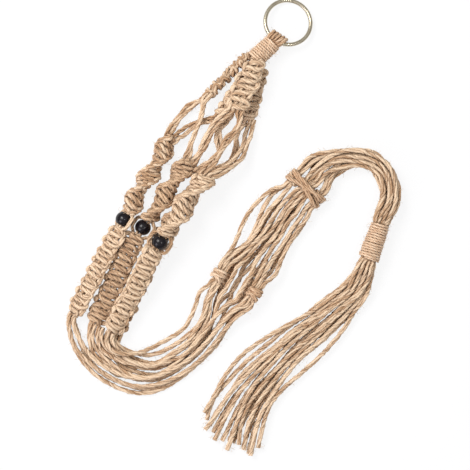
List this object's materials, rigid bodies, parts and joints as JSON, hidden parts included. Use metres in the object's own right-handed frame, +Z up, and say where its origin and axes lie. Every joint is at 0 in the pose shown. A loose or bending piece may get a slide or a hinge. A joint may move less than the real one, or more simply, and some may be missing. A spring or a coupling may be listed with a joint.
{
  "type": "macrame plant hanger",
  "caption": "Knotted jute plant hanger with a metal ring, beaded spiral sennits, a cord pot cradle and a whipped tassel, lying flat.",
  "frame": {"origin": "middle of the whole part's footprint, on the surface it lies on", "axes": "+Z up from the surface the planter lies on, +Y towards the hanging ring, +X towards the lower wrap"},
  "size_m": [0.3331, 0.4585, 0.0398],
  "materials": {
    "jute_cord": "rough twisted natural fibre",
    "twine": "rough twisted natural fibre, tightly wound",
    "ring_brass": "antique brass, satin",
    "bead_wood": "dark stain under gloss varnish"
  },
  "bodies": {
    "planter": {"bead_cords_1": "jute_cord", "bead_cords_2": "jute_cord", "bead_cords_3": "jute_cord", "bead_cords_4": "jute_cord", "cradle_knot_left": "jute_cord", "cradle_knot_right": "jute_cord", "cradle_knot_under_left": "jute_cord", "cradle_knot_under_right": "jute_cord", "gather_knot_left": "jute_cord", "gather_knot_middle": "jute_cord", "gather_knot_right": "jute_cord", "gather_knot_under": "jute_cord", "leg_1_flat": "jute_cord", "leg_1_spiral": "jute_cord", "leg_2_flat": "jute_cord", "leg_2_spiral": "jute_cord", "leg_3_flat": "jute_cord", "leg_3_spiral": "jute_cord", "leg_4_flat": "jute_cord", "leg_4_spiral": "jute_cord", "lower_wrap": "twine", "lower_wrap_strands": "jute_cord", "net_back_left_to_leg_1": "jute_cord", "net_back_left_to_leg_4": "jute_cord", "net_back_right_to_leg_3": "jute_cord", "net_back_right_to_leg_4": "jute_cord", "net_front_to_leg_2": "jute_cord", "net_front_to_leg_3": "jute_cord", "net_left_to_leg_1": "jute_cord", "net_left_to_leg_2": "jute_cord", "ring_eye": "jute_cord", "strand_bottom_0": "jute_cord", "strand_bottom_1": "jute_cord", "strand_bottom_2": "jute_cord", "strand_bottom_3": "jute_cord", "strand_bottom_4": "jute_cord", "strand_bottom_5": "jute_cord", "strand_bottom_6": "jute_cord", "strand_bottom_7": "jute_cord", "strand_top_0": "jute_cord", "strand_top_1": "jute_cord", "strand_top_2": "jute_cord", "strand_top_3": "jute_cord", "strand_top_4": "jute_cord", "strand_top_5": "jute_cord", "strand_top_6": "jute_cord", "strand_top_7": "jute_cord", "top_sennit_back_left": "jute_cord", "top_sennit_back_right": "jute_cord", "top_sennit_front": "jute_cord", "top_sennit_left": "jute_cord", "upper_wrap": "twine", "upper_wrap_strands": "jute_cord"},
    "ring": {"hanging_ring": "ring_brass"},
    "bead_1_body": {"bead_1": "bead_wood"},
    "bead_2_body": {"bead_2": "bead_wood"},
    "bead_3_body": {"bead_3": "bead_wood"},
    "bead_4_body": {"bead_4": "bead_wood"}
  },
  "joints": [
    {"name": "ring_swing", "type": "hinge", "parent": "planter", "child": "ring", "pos_m": [0.04305, 0.18715, 0.0129], "axis": [0.8231, -0.5678, 0], "range_deg": [0, 150]},
    {"name": "bead_1_turn", "type": "hinge", "parent": "planter", "child": "bead_1_body", "pos_m": [-0.10928, 0.00757, 0.0107], "axis": [-0.506, -0.8625, 0], "continuous": true},
    {"name": "bead_2_turn", "type": "hinge", "parent": "planter", "child": "bead_2_body", "pos_m": [-0.08994, -0.00058, 0.01036], "axis": [-0.5712, -0.8208, -0.0041], "continuous": true},
    {"name": "bead_3_turn", "type": "hinge", "parent": "planter", "child": "bead_3_body", "pos_m": [-0.07233, -0.01538, 0.02888], "axis": [-0.5705, -0.8212, -0.0141], "continuous": true},
    {"name": "bead_4_turn", "type": "hinge", "parent": "planter", "child": "bead_4_body", "pos_m": [-0.07164, -0.01121, 0.01036], "axis": [-0.548, -0.8365, -0.0043], "continuous": true}
  ]
}
